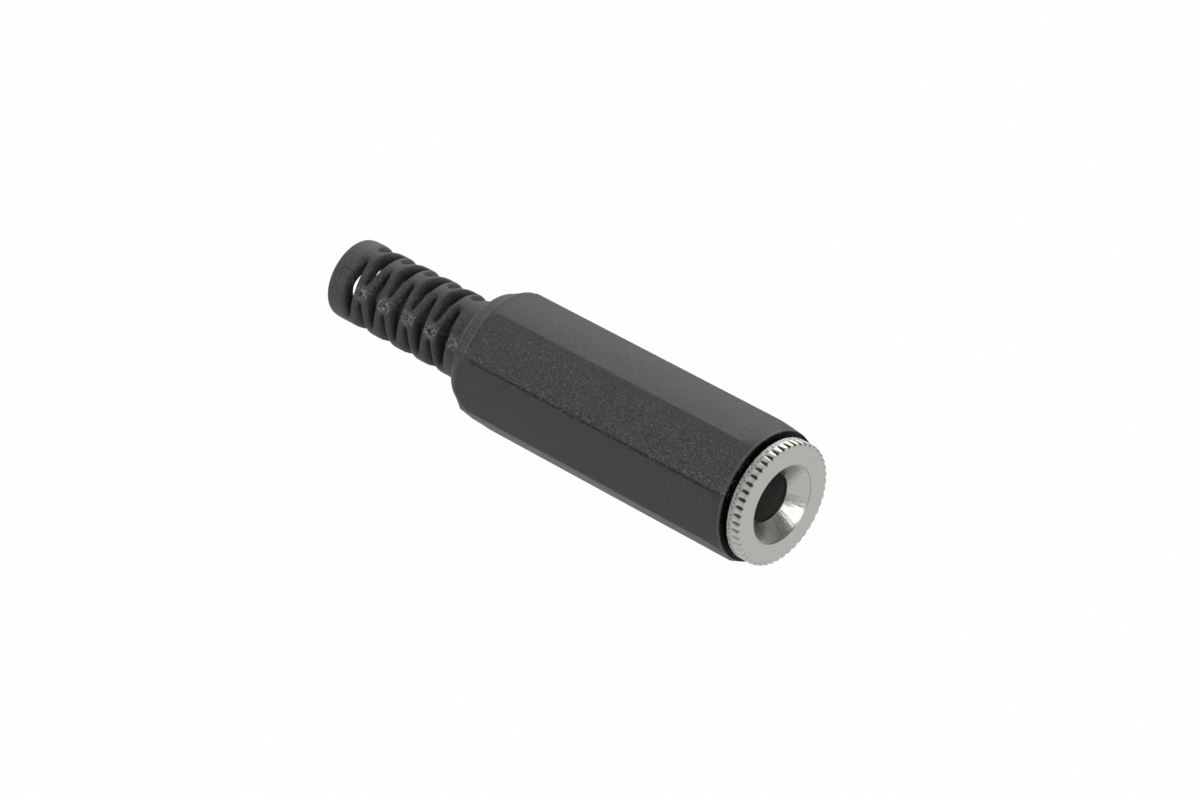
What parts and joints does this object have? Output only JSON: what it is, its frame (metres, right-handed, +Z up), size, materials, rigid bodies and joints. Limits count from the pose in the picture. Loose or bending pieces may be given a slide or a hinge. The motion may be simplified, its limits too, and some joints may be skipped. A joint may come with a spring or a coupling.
{
  "type": "audio jack socket",
  "caption": "In-line 3.5 mm audio jack socket: eight-sided black plastic handle with a slotted bend relief, screwed onto a nickel-plated knurled bushing that holds the contacts.",
  "frame": {"origin": "centre of the bounding box on the surface that the handle's lowest flat lies on", "axes": "+X along the plug's axis towards the socket's mouth, +Z up"},
  "size_m": [0.0402, 0.0098, 0.0099],
  "materials": {
    "handle_plastic": "black moulded plastic with a fine grain",
    "nickel_plate": "satin nickel plate on turned brass",
    "carrier_plastic": "smooth black moulded plastic",
    "contact_metal": "tin-plated spring brass",
    "sleeve_film": "thin milky plastic tube"
  },
  "bodies": {
    "housing": {"handle": "handle_plastic"},
    "sleeve": {"insulating_sleeve": "sleeve_film"},
    "insert": {"front_bushing": "nickel_plate", "contact_carrier": "carrier_plastic", "sleeve_contact": "contact_metal", "ring_contact": "contact_metal", "tip_contact": "contact_metal", "earth_contact": "contact_metal"}
  },
  "joints": [
    {"name": "sleeve_slide", "type": "slide", "parent": "housing", "child": "sleeve", "axis": [1, 0, 0], "range_m": [0, 0.00525]},
    {"name": "insert_turn", "type": "hinge", "parent": "sleeve", "child": "insert", "pos_m": [0, 0, 0.00495], "axis": [1, 0, 0], "range_deg": [0, 2520]}
  ],
  "couplings": [
    {"joint": "sleeve_slide", "follows": "insert_turn", "m_per_rad": 0.00011936}
  ]
}
